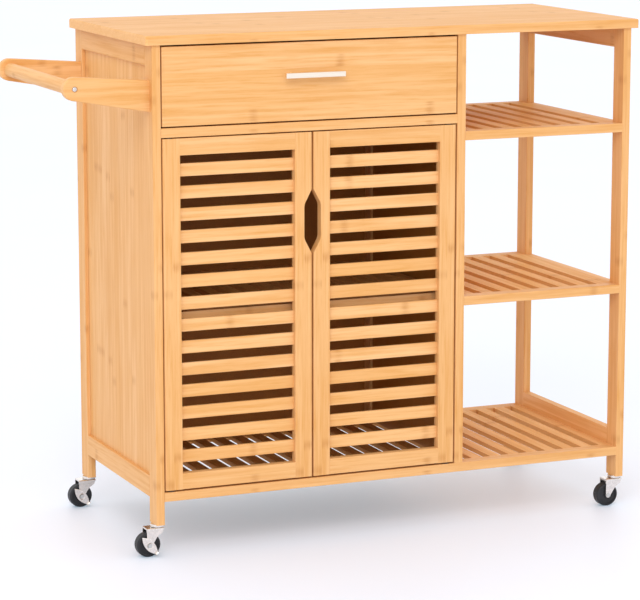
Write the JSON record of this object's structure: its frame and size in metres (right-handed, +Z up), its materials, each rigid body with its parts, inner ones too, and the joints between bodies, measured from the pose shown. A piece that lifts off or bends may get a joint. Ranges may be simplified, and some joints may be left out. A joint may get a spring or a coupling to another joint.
{
  "type": "kitchen cart",
  "caption": "Rolling bamboo kitchen cart: worktop over a drawer and louvred doors, an open bay of slatted shelves, a side push handle and swivel castors with brakes.",
  "frame": {"origin": "on the floor, under the middle of the cart's outline (handle and drawer pull included)", "axes": "+X along the cart, from the push handle to the open bay; +Y from the front with the doors to the rear; +Z up"},
  "size_m": [1.0064, 0.399, 0.84],
  "materials": {
    "bamboo": "satin clear lacquer over laminated bamboo strips",
    "thin_board": "plain brown hardboard",
    "pull_metal": "fine satin, bright",
    "steel": "zinc plated",
    "chrome": "polished plating",
    "wheel_rubber": "smooth moulded black",
    "plastic": "moulded brown"
  },
  "bodies": {
    "cart_frame": {"worktop": "bamboo", "front_left_post": "bamboo", "rear_left_post": "bamboo", "front_right_post": "bamboo", "rear_right_post": "bamboo", "left_side_rails": "bamboo", "right_side_rails": "bamboo", "left_side_panel": "bamboo", "divider_uprights": "bamboo", "divider_panel": "bamboo", "front_bottom_rail": "bamboo", "rear_bottom_rail": "bamboo", "drawer_rail": "bamboo", "rear_top_rails": "bamboo", "floor_slats": "bamboo", "bay_shelf_rails": "bamboo", "bay_shelf_slats": "bamboo", "cabinet_shelf_rails": "bamboo", "cabinet_shelf_slats": "bamboo", "shelf_cleats": "bamboo", "drawer_runners": "bamboo", "handle_front_arm": "bamboo", "handle_rear_arm": "bamboo", "handle_bar": "bamboo", "back_panel": "thin_board", "handle_bolts": "steel", "handle_screws": "steel", "door_catch": "plastic", "door_bushes": "plastic", "castor_stems": "chrome"},
    "drawer": {"drawer_front": "bamboo", "drawer_sides": "bamboo", "drawer_back": "bamboo", "drawer_bottom": "thin_board", "drawer_pull": "pull_metal", "drawer_pull_screws": "steel"},
    "left_door": {"left_door_hinge_stile": "bamboo", "left_door_meeting_stile": "bamboo", "left_door_rails": "bamboo", "left_door_louvres": "bamboo", "left_door_fittings": "steel"},
    "right_door": {"right_door_hinge_stile": "bamboo", "right_door_meeting_stile": "bamboo", "right_door_rails": "bamboo", "right_door_louvres": "bamboo", "right_door_fittings": "steel"},
    "front_left_castor": {"front_left_castor_fork": "chrome", "front_left_castor_axle": "steel"},
    "front_left_wheel": {"front_left_castor_wheel": "wheel_rubber"},
    "front_left_brake": {"front_left_brake_lever": "chrome"},
    "rear_left_castor": {"rear_left_castor_fork": "chrome", "rear_left_castor_axle": "steel"},
    "rear_left_wheel": {"rear_left_castor_wheel": "wheel_rubber"},
    "rear_left_brake": {"rear_left_brake_lever": "chrome"},
    "front_right_castor": {"front_right_castor_fork": "chrome", "front_right_castor_axle": "steel"},
    "front_right_wheel": {"front_right_castor_wheel": "wheel_rubber"},
    "rear_right_castor": {"rear_right_castor_fork": "chrome", "rear_right_castor_axle": "steel"},
    "rear_right_wheel": {"rear_right_castor_wheel": "wheel_rubber"}
  },
  "joints": [
    {"name": "drawer_slide", "type": "slide", "parent": "cart_frame", "child": "drawer", "axis": [0, -1, 0], "range_m": [0, 0.26]},
    {"name": "left_door_hinge", "type": "hinge", "parent": "cart_frame", "child": "left_door", "pos_m": [-0.334, -0.176, 0.393], "axis": [0, 0, -1], "range_deg": [0, 110]},
    {"name": "right_door_hinge", "type": "hinge", "parent": "cart_frame", "child": "right_door", "pos_m": [0.1541, -0.176, 0.393], "axis": [0, 0, 1], "range_deg": [0, 110]},
    {"name": "front_left_swivel", "type": "hinge", "parent": "cart_frame", "child": "front_left_castor", "pos_m": [-0.3552, -0.1665, 0.046], "axis": [0, 0, 1], "continuous": true},
    {"name": "front_left_roll", "type": "hinge", "parent": "front_left_castor", "child": "front_left_wheel", "pos_m": [-0.3727, -0.1665, 0.02], "axis": [0, 1, 0], "continuous": true},
    {"name": "front_left_brake_pedal", "type": "hinge", "parent": "front_left_castor", "child": "front_left_brake", "pos_m": [-0.3727, -0.1665, 0.02], "axis": [0, -1, 0], "range_deg": [0, 30]},
    {"name": "rear_left_swivel", "type": "hinge", "parent": "cart_frame", "child": "rear_left_castor", "pos_m": [-0.3552, 0.1815, 0.046], "axis": [0, 0, 1], "continuous": true},
    {"name": "rear_left_roll", "type": "hinge", "parent": "rear_left_castor", "child": "rear_left_wheel", "pos_m": [-0.3727, 0.1815, 0.02], "axis": [0, 1, 0], "continuous": true},
    {"name": "rear_left_brake_pedal", "type": "hinge", "parent": "rear_left_castor", "child": "rear_left_brake", "pos_m": [-0.3727, 0.1815, 0.02], "axis": [0, -1, 0], "range_deg": [0, 30]},
    {"name": "front_right_swivel", "type": "hinge", "parent": "cart_frame", "child": "front_right_castor", "pos_m": [0.4838, -0.1665, 0.046], "axis": [0, 0, 1], "continuous": true},
    {"name": "front_right_roll", "type": "hinge", "parent": "front_right_castor", "child": "front_right_wheel", "pos_m": [0.4663, -0.1665, 0.02], "axis": [0, 1, 0], "continuous": true},
    {"name": "rear_right_swivel", "type": "hinge", "parent": "cart_frame", "child": "rear_right_castor", "pos_m": [0.4838, 0.1815, 0.046], "axis": [0, 0, 1], "continuous": true},
    {"name": "rear_right_roll", "type": "hinge", "parent": "rear_right_castor", "child": "rear_right_wheel", "pos_m": [0.4663, 0.1815, 0.02], "axis": [0, 1, 0], "continuous": true}
  ]
}
